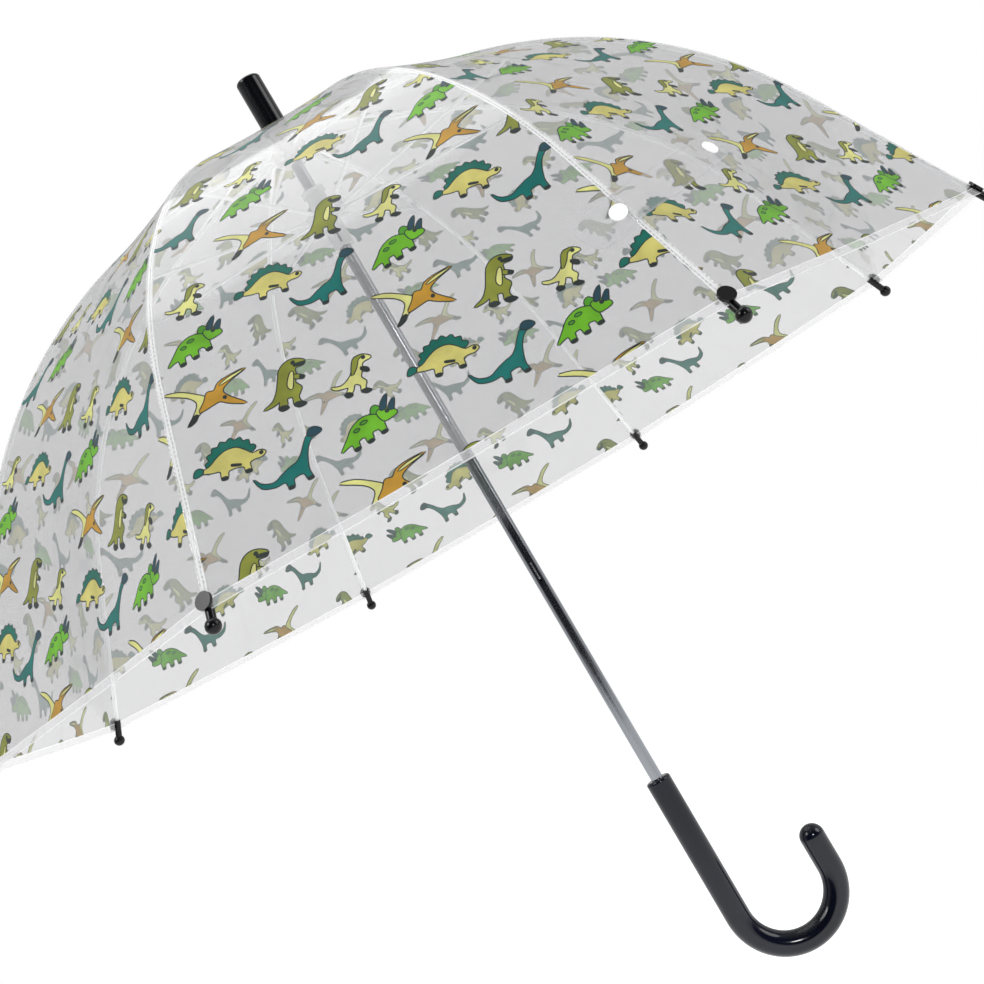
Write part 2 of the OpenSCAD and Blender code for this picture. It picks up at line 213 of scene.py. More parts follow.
def grown(loop, by):
    """An outline moved outwards, for the dark line round a figure."""
    edge = np.roll(loop, -1, axis=0) - np.roll(loop, 1, axis=0)
    edge /= np.maximum(np.linalg.norm(edge, axis=1, keepdims=True), 1e-9)
    return loop + by * np.stack([edge[:, 1], -edge[:, 0]], axis=1)


HORNED = [
    ("leaf", curve((6, -4), (4.6, 2), (5.4, 8), (8.6, 9.6), (11, 4.6), (9, -2))),
    ("green", curve(
        (-19, -7), (-13, -1), (-8, 4), (-1, 6.6), (5, 5), (9, 1), (8.6, -4), (8, -8), (5.4, -8.4),
        (4.6, -5.4), (0.6, -5), (-0.4, -9), (-3.6, -9.4), (-4.2, -5.4), (-8, -5.6), (-9, -9.6),
        (-11.8, -9.8), (-12, -6), (-15, -6),
    )),
    ("green", curve((7.6, 4.6), (11.6, 5.4), (16, 2.4), (17.6, -1.4), (13.6, -2.6), (9, -2))),
    ("navy", curve((10.4, 5), (12.4, 9.4), (17, 12.6), (14.4, 7), (13, 4.8))),
    ("navy", curve((14.4, 3.4), (17, 6.6), (19.6, 7.6), (18, 3.8), (16.6, 1.8))),
    ("dark", blob(13.2, 2.6, 0.7, 0.8)),
    ("dark", blob(6.8, -8.6, 1.7, 0.8)),
    ("dark", blob(-2, -9.6, 1.7, 0.8)),
    ("dark", blob(-10.4, -10, 1.7, 0.8)),
    ("leaf", curve((-3, 3.4), (-1, 4.2), (1, 3.4), (-1, 2.6))),
    ("leaf", curve((-8, 1), (-6.4, 1.8), (-4.8, 1), (-6.4, 0.2))),
]
PLATED = [
    ("plates", scallops(-1, 0, 13, 11.4, 190, 12, 8, 0.15)),
    ("khaki", curve(
        (-20, -4), (-14, -1.6), (-9, 3), (-4, 6), (2, 6.4), (7, 3.4), (11, 0.4), (15.6, 1.2),
        (18.4, -0.6), (16, -3), (12, -3.4), (9, -5), (9.4, -9.6), (6.6, -10), (5, -6.2),
        (-3, -6.6), (-4, -10.6), (-7.4, -10.8), (-8, -6), (-13, -5.6),
    )),
    ("plates", curve((-23, -6), (-21.6, -1.6), (-18, -2), (-18.6, -5))),
    ("dark", blob(16, -0.4, 0.6, 0.7)),
    ("dark", blob(8, -10, 1.7, 0.8)),
    ("dark", blob(-5.8, -11, 1.7, 0.8)),
    ("dark", curve((-1, -3.6), (3.6, -4.6), (3.6, -5), (-1, -4.2))),
]
LONG_NECK = [
    ("teal", curve(
        (-22, 4), (-18.6, -1), (-12, -3.4), (-6, -0.6), (-1, 1.6), (3.6, 3), (7.4, 7),
        (10.6, 12.4), (13.8, 16.4), (17.4, 17), (16.4, 14.4), (13.4, 11.6), (10.8, 6.6), (9, 0),
        (8.4, -5), (9, -9.6), (6.4, -9.8), (4.8, -5.4), (-1, -6), (-2, -10.2), (-4.8, -10.4),
        (-6, -6), (-12, -6.2), (-19, -3.4),
    )),
    ("navy", curve((13.8, 16.4), (16, 19.6), (19.6, 19), (22, 16), (19.6, 14.6), (16.6, 14.4))),
    ("dark", blob(7.8, -10, 1.6, 0.7)),
    ("dark", blob(-3.6, -10.6, 1.6, 0.7)),
]
HUNTER = [
    ("olive", curve(
        (-15, -13), (-9.6, -8.6), (-7, -2), (-6, 4.6), (-5, 10.6), (-1.6, 15), (3.6, 16.4),
        (9.6, 14.6), (9.2, 11.6), (4.4, 10.4), (4.6, 6), (4, 1), (7.4, -3), (5.4, -8),
        (6.4, -11.6), (9, -13.8), (3, -14), (2, -8.4), (-1.4, -8.6), (-1.6, -13), (-6, -14.6),
        (-5.6, -9.6), (-9, -11.4),
    )),
    ("olive", curve((3.6, 6), (7.8, 4.8), (8, 3), (3.8, 3.6))),
    ("dark", curve((4.2, 12.8), (9.6, 13.2), (9.4, 12.2), (4.4, 11.8))),
    ("dark", blob(3.2, 14.2, 0.7, 0.7)),
    ("dark", curve((2.6, -13.2), (5.6, -12.2), (9.6, -13.8), (5.6, -15.2))),
    ("dark", curve((-6.4, -13.8), (-3.4, -12.8), (-0.6, -14.2), (-4, -15.6))),
    ("dark", curve((7, 4.6), (9.4, 4), (8.6, 2.6), (7.2, 3))),
    ("pale", curve((1, 7), (2.8, 8), (2.6, 1), (1.6, -3), (-0.6, 0))),
]
RUNNER = [
    ("pale", curve(
        (-14, -4), (-8.6, -4.4), (-4.4, -1.6), (-1.6, 2.6), (-0.6, 8), (2, 11.4), (7, 12),
        (10.4, 9.4), (5.4, 7.6), (4.4, 3), (3.4, -1.8), (6, -5), (5, -9), (7.4, -11), (3, -11.4),
        (2.6, -6.8), (-0.8, -5.4), (-2, -9), (-4.6, -11.6), (-5.8, -10.2), (-4.4, -6.6),
        (-7, -6.2), (-11.6, -6),
    )),
    ("olive", curve((-0.6, 9), (1.6, 12), (6.4, 12.4), (3, 10.2), (1.4, 5), (-1.6, 0.6))),
    ("dark", curve((3.8, 4.4), (7.4, 3.4), (8.2, 1), (5.2, 2))),
    ("dark", curve((3, -10.6), (5.4, -10), (8.4, -11.4), (5.4, -12.4))),
    ("dark", curve((-6.8, -10.4), (-4.2, -10), (-2.6, -11.8), (-5.4, -12.6))),
    ("dark", blob(6, 10.6, 0.6, 0.6)),
]
WINGED = [
    ("pale", curve(
        (-22, 18), (-14, 15.6), (-6, 9), (-0.6, 2.6), (-4, -1.6), (-10, -5.4), (-16, -8),
        (-10, -2), (-7, 3.4), (-11, 10),
    )),
    ("gold", curve(
        (-8, -3.6), (-3, 1.6), (0.4, 6), (4.6, 5), (8.4, 8.4), (16, 9.4), (26, 8.6), (15, 6),
        (9, 2.6), (10.6, -3), (18, -13), (9.4, -7.4), (5, -3.4), (0, -3.4),
    )),
    ("pale", curve((8.6, 6.6), (15, 8.4), (24, 8.4), (15, 7))),
    ("dark", curve((-17, -8.6), (-12, -4.6), (-9.6, -4.6), (-12, -7.6))),
    ("dark", blob(8.4, -2.4, 0.6, 0.7)),
]

# Steps of the pattern, across and down a gore in millimetres, and the figures in it: each
# one's shapes, its place from the step's start, and its turn in degrees
FIRST = np.array([-33.0, 232.0])
STEP_A = np.array([54.0, 91.0])
STEP_B = np.array([-54.0, 82.0])
FIGURES = [
    (HORNED, (0, 0), 0),
    (HUNTER, (31, 49), -20),
    (PLATED, (-7, 70), -17),
    (LONG_NECK, (15, 91), -6),
    (WINGED, (-5, 35), 0),
    (RUNNER, (60, 63), -18),
]
FIGURE_SIZE = 0.84
LINE = 0.6      # width of the dark line round a shape


def printed_shapes():
    """Every shape of the print on one gore as (colour, outline in metres), in painting order."""
    shapes = []
    for a in range(-5, 6):
        for b in range(-5, 6):
            for figure, offset, lean in FIGURES:
                u, v = FIRST + a * STEP_A + b * STEP_B + offset
                if not 8 < v < V_END / MM + 15 or abs(u) > half_width(v * MM) / MM + 18:
                    continue
                c = FIGURE_SIZE * math.cos(math.radians(lean))
                s = FIGURE_SIZE * math.sin(math.radians(lean))
                for colour, loop in figure:
                    loop = loop @ np.array([[c, s], [-s, c]])
                    for name, outline in (("dark", grown(loop, LINE)), (colour, loop)):
                        placed = np.stack([u + outline[:, 0], v - outline[:, 1]], axis=1)
                        shapes.append((name, placed * MM))
    return shapes


def clipped(loop, region):
    """A loop cut to a convex region that runs the other way round from +u to +v."""
    for a, b in zip(region, np.roll(region, -1, axis=0)):
        side = (b[0] - a[0]) * (loop[:, 1] - a[1]) - (b[1] - a[1]) * (loop[:, 0] - a[0])
        if (side >= 0).all():
            continue
        kept = []
        for p, q, sp, sq in zip(loop, np.roll(loop, -1, axis=0), side, np.roll(side, -1)):
            if sp >= 0:
                kept.append(p)
            if (sp >= 0) != (sq >= 0):
                kept.append(p + (q - p) * sp / (sp - sq))
        if len(kept) < 3:
            return None
        loop = np.array(kept)
    return loop


def inside(points, loop):
    """Which points lie inside a closed loop."""
    found = np.zeros(len(points), bool)
    near = ((points >= loop.min(axis=0)) & (points <= loop.max(axis=0))).all(axis=1)
    x, y = points[near, 0], points[near, 1]
    odd = np.zeros(len(x), bool)
    for (x0, y0), (x1, y1) in zip(loop, np.roll(loop, -1, axis=0)):
        if y0 != y1:
            odd ^= ((y0 > y) != (y1 > y)) & (x < (x1 - x0) * (y - y0) / (y1 - y0) + x0)
    found[near] = odd
    return found


def gore_rim(inset, top, bottom):
    """The outline of a gore, drawn in by inset at its sides, between two places down it."""
    rows = np.linspace(top, bottom, 56)
    w = half_width(rows) - inset
    right = np.stack([w, rows], axis=1)
    return np.concatenate([right, right[::-1] * [-1, 1]])


def flat_gore():
    """The flat pattern of one gore as points, triangles and each triangle's colour."""
    rim = gore_rim(0, 0, V_END)
    field = gore_rim(SEAM_W, PLAIN_TOP, V_END - HEM_W)
    weld = gore_rim(SEAM_W - BEAD_LIT_W, PLAIN_TOP - BEAD_LIT_W, V_END - HEM_W + BEAD_LIT_W)
    edge = gore_rim(BEAD_LIT_W, PLAIN_TOP - BEAD_LIT_W, V_END - BEAD_LIT_W)
    loops = [rim, field, weld, edge]
    painted = []
    for colour, loop in printed_shapes():
        loop = clipped(loop, field)
        if loop is not None:
            loops.append(loop)
            painted.append((colour, loop))
    points, edges = [], []
    for loop in loops:
        first = len(points)
        points += [Vector(p) for p in loop]
        edges += [(first + k, first + (k + 1) % len(loop)) for k in range(len(loop))]
    cuts = [((0, 0), (0, V_END))]
    cuts += [((-float(half_width(v)), v), (float(half_width(v)), v)) for v in (V_CROWN, V_KNEE)]
    for a, b in cuts:
        points += [Vector(a), Vector(b)]
        edges.append((len(points) - 2, len(points) - 1))
    pitch = GRID * 0.866
    for row in np.arange(GRID, V_END - GRID / 2, pitch):
        shift = GRID / 2 * (round(row / pitch) % 2)
        w = float(half_width(row)) - SEAM_W - GRID * 0.3
        points += [Vector((u, row)) for u in np.arange(-20, 21) * GRID + shift if MM < abs(u) < w]
    made = delaunay_2d_cdt(points, edges, [], 0, 1e-6)
    flat = np.array([tuple(p) for p in made[0]])
    faces = np.array([f for f in made[2] if len(f) == 3])
    middle = flat[faces].mean(axis=1)
    keep = np.abs(middle[:, 0]) < half_width(middle[:, 1])
    faces, middle = faces[keep], middle[keep]
    # The thin strips at each weld's edges are whiter film that partly stands in as a painted highlight
    # along those edges
    colour = np.full(len(faces), "bead", dtype="U8")
    colour[inside(middle, edge)] = "seam"
    colour[inside(middle, weld)] = "bead"
    colour[inside(middle, field)] = "film"
    colour[middle[:, 1] < PLAIN_TOP] = "film"
    for name, loop in painted:
        colour[inside(middle, loop)] = name
    return flat, faces, colour


# ---- shaders ----


def linear(code):
    """A hex colour as the linear colour that shaders take."""
    values = [int(code[k:k + 2], 16) / 255 for k in (0, 2, 4)]
    return tuple(v / 12.92 if v < 0.04045 else ((v + 0.055) / 1.055) ** 2.4 for v in values) + (1.0,)


def node(tree, kind, inputs=None, **settings):
    """Adds a node, sets its properties, and sets or links its inputs."""
    made = tree.nodes.new(kind)
    for name, value in settings.items():
        setattr(made, name, value)
    for name, value in (inputs or {}).items():
        if isinstance(value, bpy.types.NodeSocket):
            tree.links.new(value, made.inputs[name])
        else:
            made.inputs[name].default_value = value
    return made


def new_material(name):
    material = bpy.data.materials.new(name)
    material.use_nodes = True
    material.node_tree.nodes.clear()
    return material, material.node_tree


def output(tree, shader):
    node(tree, "ShaderNodeOutputMaterial", {"Surface": shader})


def noise(tree, scale, detail=3.0, stretch=(1, 1, 1)):
    """Noise in the object's own space, drawn out along an axis by stretch."""
    place = node(tree, "ShaderNodeTexCoord")
    mapped = node(tree, "ShaderNodeMapping", {"Vector": place.outputs["Object"], "Scale": stretch})
    inputs = {"Vector": mapped.outputs[0], "Scale": scale, "Detail": detail}
    return node(tree, "ShaderNodeTexNoise", inputs).outputs["Fac"]


def bump(tree, height, strength, distance, under=None):
    inputs = {"Height": height, "Strength": strength, "Distance": distance}
    if under is not None:
        inputs["Normal"] = under
    return node(tree, "ShaderNodeBump", inputs).outputs[0]


def between(tree, value, low, high):
    """Maps 0..1 to low..high."""
    return node(tree, "ShaderNodeMapRange", {"Value": value, "To Min": low, "To Max": high}).outputs[0]


def shades(tree, value, dark, light, low=0.3, high=0.7):
    ramp = node(tree, "ShaderNodeValToRGB", {"Fac": value})
    ramp.color_ramp.elements[0].color = dark
    ramp.color_ramp.elements[0].position = low
    ramp.color_ramp.elements[1].color = light
    ramp.color_ramp.elements[1].position = high
    return ramp.outputs["Color"]


def scaled(colour, by):
    return tuple(min(1.0, c * by) for c in colour[:3]) + (1.0,)


def sheen_share(tree, face):
    """Share of light that a thin film's face reflects, the same from both of its sides."""
    facing = node(tree, "ShaderNodeLayerWeight", {"Blend": 0.5, "Normal": face}).outputs["Facing"]
    steep = node(tree, "ShaderNodeMath", {0: facing, 1: 4.0}, operation="POWER")
    return between(tree, steep.outputs[0], 0.03, 0.55)


def film_shader(name, haze, tint, gloss_rough, ripple, passing):
    """Thin milky film: some light passes straight, some scatters, and the face is glossy."""
    material, tree = new_material(name)
    slow = noise(tree, 14, 2, (1, 1, 0.5))
    fine = noise(tree, 160, 4)
    face = bump(tree, fine, 0.12, 0.2 * MM, bump(tree, slow, ripple, 3 * MM))
    cloud = shades(tree, noise(tree, 9, 3), scaled(tint, 0.94), tint)
    clear = node(tree, "ShaderNodeBsdfTransparent", {"Color": (passing, passing, passing, 1)})
    front = node(tree, "ShaderNodeBsdfDiffuse", {"Color": cloud, "Normal": face})
    back = node(tree, "ShaderNodeBsdfTranslucent", {"Color": cloud, "Normal": face})
    milk = node(tree, "ShaderNodeMixShader", {0: 0.5, 1: front.outputs[0], 2: back.outputs[0]})
    hazy = between(tree, noise(tree, 22, 4), haze * 0.85, haze * 1.15)
    body = node(tree, "ShaderNodeMixShader", {0: hazy, 1: clear.outputs[0], 2: milk.outputs[0]})
    gloss = node(tree, "ShaderNodeBsdfGlossy", {"Roughness": gloss_rough, "Normal": face})
    share = sheen_share(tree, face)
    both = node(tree, "ShaderNodeMixShader", {0: share, 1: body.outputs[0], 2: gloss.outputs[0]})
    output(tree, both.outputs[0])
    return material


def ink_shader(name, colour, cover):
    """Ink on the film: uneven, slightly see-through, with the film's gloss."""
    material, tree = new_material(name)
    spread = noise(tree, 70, 5)
    tone = shades(tree, spread, scaled(colour, 0.8), scaled(colour, 1.14))
    face = bump(tree, noise(tree, 420, 3), 0.15, 0.1 * MM)
    solid = node(tree, "ShaderNodeBsdfPrincipled", {
        "Base Color": tone, "Roughness": between(tree, spread, 0.3, 0.5), "Normal": face,
        "Specular IOR Level": 0.35,
    })
    back = node(tree, "ShaderNodeBsdfTranslucent", {"Color": tone})
    lit = node(tree, "ShaderNodeMixShader", {0: 0.3, 1: solid.outputs[0], 2: back.outputs[0]})
    clear = node(tree, "ShaderNodeBsdfTransparent")
    thick = between(tree, noise(tree, 240, 3), cover - 0.05, min(1.0, cover + 0.05))
    both = node(tree, "ShaderNodeMixShader", {0: thick, 1: clear.outputs[0], 2: lit.outputs[0]})
    output(tree, both.outputs[0])
    return material


INKS = {
    "dark": "2B3231",
    "green": "6CB324",
    "leaf": "4C9A24",
    "navy": "1E4452",
    "plates": "0B6A5C",
    "khaki": "CDC573",
    "teal": "07706A",
    "olive": "898F36",
    "pale": "D6D588",
    "gold": "BE9130",
}
GREY = linear("8E9A92")


def faded(colour):
    """The back of an ink, paler and greyer than its face."""
    return tuple(0.5 * c + 0.5 * g for c, g in zip(colour[:3], GREY)) + (1.0,)


# What each part of a sheet is made of, on its outer and its inner face
OUTER = {name: ink_shader(f"ink_{name}", linear(code), 0.94) for name, code in INKS.items()}
INNER = {name: ink_shader(f"ink_back_{name}", faded(linear(code)), 0.9) for name, code in INKS.items()}
for side in (OUTER, INNER):
    side["film"] = film_shader("film_skin", 0.22, (0.52, 0.52, 0.53, 1), 0.10, 0.6, 0.935)
    side["seam"] = film_shader("film_weld", 0.24, (0.8, 0.8, 0.81, 1), 0.06, 0.9, 0.96)
    # Strips at the weld edges: whiter, hazier film, partly a painted highlight along each edge
    side["bead"] = film_shader("film_bead", 0.42, (0.95, 0.95, 0.95, 1), 0.05, 0.9, 1.0)
    side["strap"] = film_shader("film_strap", 0.1, (0.8, 0.8, 0.81, 1), 0.08, 0.6, 0.985)


def plastic(name, colour, rough, light=1.3, grain=300.0, coat=0.0, through=0.0, shine=0.5):
    """Moulded plastic with faint flow marks, a fine grain and scuffs that change its gloss."""
    material, tree = new_material(name)
    base = linear(colour)
    tone = shades(tree, noise(tree, 35, 4, (1, 1, 0.3)), base, scaled(base, light), 0.35, 0.75)
    scuff = noise(tree, 110, 6, (1, 1, 0.4))
    flow = bump(tree, noise(tree, 60, 2), 0.1, 0.3 * MM)
    face = bump(tree, noise(tree, grain, 3), 0.08, 0.1 * MM, flow)
    solid = node(tree, "ShaderNodeBsdfPrincipled", {
        "Base Color": tone, "Roughness": between(tree, scuff, rough * 0.75, rough * 1.35),
        "Normal": face, "Coat Weight": coat, "Coat Roughness": 0.06, "Specular IOR Level": shine,
    })
    if not through:
        output(tree, solid.outputs[0])
        return material
    clear = node(tree, "ShaderNodeBsdfTransparent")
    glow = node(tree, "ShaderNodeBsdfTranslucent", {"Color": tone})
    milk = node(tree, "ShaderNodeMixShader", {0: 0.35, 1: solid.outputs[0], 2: glow.outputs[0]})
    both = node(tree, "ShaderNodeMixShader", {0: through, 1: milk.outputs[0], 2: clear.outputs[0]})
    output(tree, both.outputs[0])
    return material


def metal(name, colour, rough, streak):
    """Drawn metal: long streaks along Z, fine scratches and small dull spots."""
    material, tree = new_material(name)
    base = linear(colour)
    lines = noise(tree, 260, 4, (1, 1, streak))
    tone = shades(tree, lines, scaled(base, 0.72), base)
    spots = noise(tree, 90, 5)
    face = bump(tree, lines, 0.03, 0.03 * MM)
    solid = node(tree, "ShaderNodeBsdfPrincipled", {
        "Base Color": tone, "Metallic": 1.0, "Roughness": between(tree, spots, rough * 0.7, rough * 1.5),
        "Normal": face,
    })
    output(tree, solid.outputs[0])
    return material


LOOKS = {
    "shaft_tube": metal("tube_chrome", "9CA0A5", 0.1, 0.01),
    "ferrule": plastic("ferrule_black", "07080B", 0.18, 1.8, coat=0.1, shine=0.25),
    "canopy_washer": plastic("washer_grey", "5A5F66", 0.45),
    "notch": plastic("notch_milky", "F0F0EE", 0.3, 1.02, through=0.15),
    "notch_wire": metal("wire_steel", "9A9EA2", 0.3, 0.4),
    "handle": plastic("handle_gloss", "070A14", 0.12, 2.0, coat=0.1, shine=0.3),
    "top_catch": metal("catch_steel", "A8ACB0", 0.3, 0.1),
    "runner": plastic("runner_milky", "ECEEEE", 0.3, 1.02, through=0.15),
    "rib": plastic("rib_resin", "F2F3F3", 0.25, 1.02, through=0.2),
    "rib_tip": plastic("tip_black", "050507", 0.22, 1.8, shine=0.22),
    "stretcher": plastic("stretcher_resin", "EEF0F0", 0.3, 1.02, through=0.2),
}
LOOKS["bottom_catch"] = LOOKS["top_catch"]
LOOKS["runner_wire"] = LOOKS["notch_wire"]
LOOKS["rib_upper"] = LOOKS["rib_lower"] = LOOKS["rib"]


def paint(obj, *materials):
    obj.data.materials.clear()
    for material in materials:
        obj.data.materials.append(material)


for name, obj in frame["nodes"].items():
    look = LOOKS.get(name) or LOOKS.get(name[:-2])      # rib_upper_3 looks as rib_upper does
    if look:
        paint(obj, look)


# ---- mesh helpers ----


def new_piece(name, points, faces, materials=(), chosen=None):
    mesh = bpy.data.meshes.new(name)
    mesh.from_pydata([tuple(p) for p in points], [], [tuple(int(k) for k in f) for f in faces])
    for material in materials:
        mesh.materials.append(material)
    if chosen is not None:
        mesh.polygons.foreach_set("material_index", np.asarray(chosen, np.int32))
    mesh.update()
    obj = bpy.data.objects.new(name, mesh)
    bpy.context.scene.collection.objects.link(obj)
    return obj


def joined(points, faces):
    """Points that lie on one another made one, and the faces that use them."""
    _, first, where = np.unique(np.round(points, 7), axis=0, return_index=True, return_inverse=True)
    return points[first], where.reshape(-1)[faces]


def rim_edges(faces):
    """Edges that only one triangle uses, in that triangle's direction."""
    edges = np.concatenate([faces[:, [0, 1]], faces[:, [1, 2]], faces[:, [2, 0]]])
    names = np.sort(edges, axis=1)
    _, where, count = np.unique(names, axis=0, return_inverse=True, return_counts=True)
    return edges[count[where.reshape(-1)] == 1]


def skinned(name, points, faces, normals, colours):
    """A closed sheet: an outer skin with the print, an inner skin with its back, and a rim."""
    count = len(points)
    spread = np.zeros_like(points)
    for k in range(3):
        np.add.at(spread, faces[:, k], normals[:, k])
    spread /= np.linalg.norm(spread, axis=1, keepdims=True)
    rim = rim_edges(faces)
    wall = np.concatenate([
        np.stack([rim[:, 0], rim[:, 0] + count, rim[:, 1]], axis=1),
        np.stack([rim[:, 1], rim[:, 0] + count, rim[:, 1] + count], axis=1),
    ])
    every = np.concatenate([faces, faces[:, ::-1] + count, wall])
    names = sorted(OUTER)
    index = np.array([names.index(c) for c in colours])
    chosen = np.concatenate([index, index + len(names), np.full(len(wall), names.index("seam"))])
    materials = [OUTER[n] for n in names] + [INNER[n] for n in names]
    obj = new_piece(name, np.concatenate([points, points - FILM_T * spread]), every, materials, chosen)
    wall_normals = np.repeat(spread[wall[:, :1] % count], 3, axis=1)
    corner = np.concatenate([normals, -normals[:, ::-1], wall_normals])
    obj.data.shade_smooth()
    obj.data.normals_split_custom_set(corner.reshape(-1, 3).tolist())
    return obj


# ---- canopy: eight gores on one curved sheet, in pieces that ride on the ribs ----

flat, triangles, colours = flat_gore()
middles = flat[triangles].mean(axis=1)
corners = flat[triangles]
winding = np.cross(corners[:, 1] - corners[:, 0], corners[:, 2] - corners[:, 0])
triangles[winding > 0] = triangles[winding > 0][:, ::-1]
gore_points = on_gore(flat[:, 0], flat[:, 1])
point_normals = gore_normals(flat[:, 0], flat[:, 1])

LEVELS = {"crown": (0, V_CROWN), "upper": (V_CROWN, V_KNEE), "lower": (V_KNEE, V_END)}


def canopy_piece(rib, level):
    """The film on both sides of a rib, out to the middles of its two gores."""
    points, faces, normals, tones = [], [], [], []
    area, first = 0.0, 0
    top, bottom = LEVELS[level]
    here_too = (middles[:, 1] > top) & (middles[:, 1] < bottom)
    for gore, half in ((rib, 1), (rib + 1, -1)):
        chosen = here_too & (middles[:, 0] * half > 0)
        here = triangles[chosen]
        points.append(turned(gore_points, gore))
        faces.append(here + first)
        normals.append(turned(point_normals, gore)[here])
        tones.append(colours[chosen])
        cut = flat[here]
        area += np.abs(np.cross(cut[:, 1] - cut[:, 0], cut[:, 2] - cut[:, 0])).sum() / 2
        first += len(gore_points)
    points, faces = np.concatenate(points), np.concatenate(faces)
    used, faces = np.unique(faces, return_inverse=True)
    points, faces = joined(points[used], faces.reshape(-1, 3))
    obj = skinned(f"film_{level}_{rib}", points, faces, np.concatenate(normals), np.concatenate(tones))
    part = "upper" if level == "crown" else level
    if level != "crown":
        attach(obj, f"rib_{part}_{rib}")
    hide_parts(f"canopy_{part}_{rib}")
    return obj


# ---- welds: small bars beside every rib, placed by a node tree ----


def weld_tree(material):
    tree = bpy.data.node_groups.new("weld_bars", "GeometryNodeTree")
    tree.interface.new_socket("Geometry", in_out="INPUT", socket_type="NodeSocketGeometry")
    pitch = tree.interface.new_socket("Pitch", in_out="INPUT", socket_type="NodeSocketFloat")
    seed = tree.interface.new_socket("Seed", in_out="INPUT", socket_type="NodeSocketInt")
    tree.interface.new_socket("Geometry", in_out="OUTPUT", socket_type="NodeSocketGeometry")
    start = node(tree, "NodeGroupInput")
    line = node(tree, "GeometryNodeMeshToCurve", {"Mesh": start.outputs["Geometry"]})
    spaced = node(tree, "GeometryNodeResampleCurve", {
        "Curve": line.outputs[0], "Length": start.outputs["Pitch"],
    }, mode="LENGTH")
    tangent = node(tree, "GeometryNodeInputTangent")
    facing = node(tree, "FunctionNodeAlignEulerToVector", {"Vector": tangent.outputs[0]}, axis="X")
    bar = node(tree, "GeometryNodeMeshCube", {"Size": (1.5 * MM, 0.5 * MM, 0.3 * MM)})
    seeded = {"Seed": start.outputs["Seed"]}
    vary = node(tree, "FunctionNodeRandomValue", seeded, data_type="FLOAT_VECTOR")
    vary.inputs[0].default_value = (0.75, 0.85, 0.8)
    vary.inputs[1].default_value = (1.15, 1.15, 1.2)
    placed = node(tree, "GeometryNodeInstanceOnPoints", {
        "Points": spaced.outputs[0], "Instance": bar.outputs[0],
        "Rotation": facing.outputs[0], "Scale": vary.outputs[0],
    })
    real = node(tree, "GeometryNodeRealizeInstances", {"Geometry": placed.outputs[0]})
    made = node(tree, "GeometryNodeSetMaterial", {"Geometry": real.outputs[0], "Material": material})
    node(tree, "NodeGroupOutput", {0: made.outputs[0]})
    return tree, {"pitch": pitch.identifier, "seed": seed.identifier}


def from_tree(obj, tree, sockets):
    """Runs a node tree on an object and leaves a plain mesh."""
    modifier = obj.modifiers.new("tree", "NODES")
    modifier.node_group = tree
    for name, value in sockets.items():
        modifier[name] = value
    view = bpy.context.evaluated_depsgraph_get()
    mesh = bpy.data.meshes.new_from_object(obj.evaluated_get(view))
    obj.modifiers.remove(modifier)
    obj.data = mesh
    return obj


WELD_ROWS = 60
bars, sockets = weld_tree(OUTER["seam"])


def weld_line(rib, level):
    """Bars in two rows, one in each gore beside the rib."""
    top, bottom = LEVELS[level]
    clear = 2 * MM if level == "upper" else 14 * MM     # the lower rows end short of the tip's button
    rows = np.linspace(top + 2 * MM, bottom - clear, WELD_ROWS)
    points, edges = [], []
    for gore, half in ((rib, 1), (rib + 1, -1)):
        u = half * (half_width(rows) - SEAM_W * 0.6)
        points.append(turned(on_gore(u, rows, 0.1 * MM), gore))
        first = WELD_ROWS * (half < 0)
        edges += [(first + k, first + k + 1) for k in range(WELD_ROWS - 1)]
    mesh = bpy.data.meshes.new(f"weld_{level}_{rib}")
    mesh.from_pydata([tuple(p) for p in np.concatenate(points)], edges, [])
    obj = bpy.data.objects.new(f"weld_{level}_{rib}", mesh)
    bpy.context.scene.collection.objects.link(obj)
    from_tree(obj, bars, {sockets["pitch"]: 2.6 * MM, sockets["seed"]: rib})
    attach(obj, f"rib_{level}_{rib}")
    return obj


def gathered(piece):
    """Gives a piece its own copy of its mesh."""
    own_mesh(piece)


for rib in range(RIBS):
    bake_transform(canopy_piece(rib, "crown"))
    for level, place in (("upper", HINGE), ("lower", KNEE)):
        for piece in (canopy_piece(rib, level), weld_line(rib, level)):
            gathered(piece)


# ---- closure strap and its press studs ----


def lathe(name, outline, place, up, steps=40):
    """A turned piece: outline is (radius, height) from the axis to the axis."""
    points, faces = [], []
    for radius, height in outline:
        for k in range(steps):
            a = 2 * math.pi * k / steps
            points.append((radius * math.cos(a), radius * math.sin(a), height))
    for row in range(len(outline) - 1):
        for k in range(steps):
            a, b = row * steps + k, row * steps + (k + 1) % steps
            faces.append((a, b, b + steps, a + steps))
    faces.append(tuple(range(steps))[::-1])
    faces.append(tuple(range((len(outline) - 1) * steps, len(outline) * steps)))
    obj = new_piece(name, points, faces)
    spin = Vector(up).to_track_quat("Z", "Y").to_matrix().to_4x4()
    obj.data.transform(Matrix.Translation(place) @ spin)
    obj.data.shade_smooth()
    return obj


def down_gore(z):
    """How far down a gore the film passes a height."""
    return float(np.interp(-z, -gore_z, gore_v))


STRAP_LIFT = 0.5 * MM
STRAP_T = 0.3 * MM
STRAP_W = 18 * MM
STRAP_START = np.array([-24.0, 68.0]) * MM      # along the rim from rib 0, and above the tips
STRAP_END = np.array([104.0, 96.0]) * MM


def strap_place(t, s):
    """A place on the strap: t from its root over rib 0 to its end, s across it from -1 to 1."""
    step = STRAP_END - STRAP_START
    middle = STRAP_START + step * t
    shift = np.array([-step[1], step[0]]) / np.linalg.norm(step) * s * STRAP_W / 2
    y, height = middle + shift
    gore, sign = (0, 1) if y < 0 else (1, -1)
    v = down_gore(TIP[1] + height)
    return gore, sign * float(half_width(v)) + y / math.cos(HALF), v


def length_of(line):
    return float(np.linalg.norm(np.diff(line, axis=0), axis=1).sum())


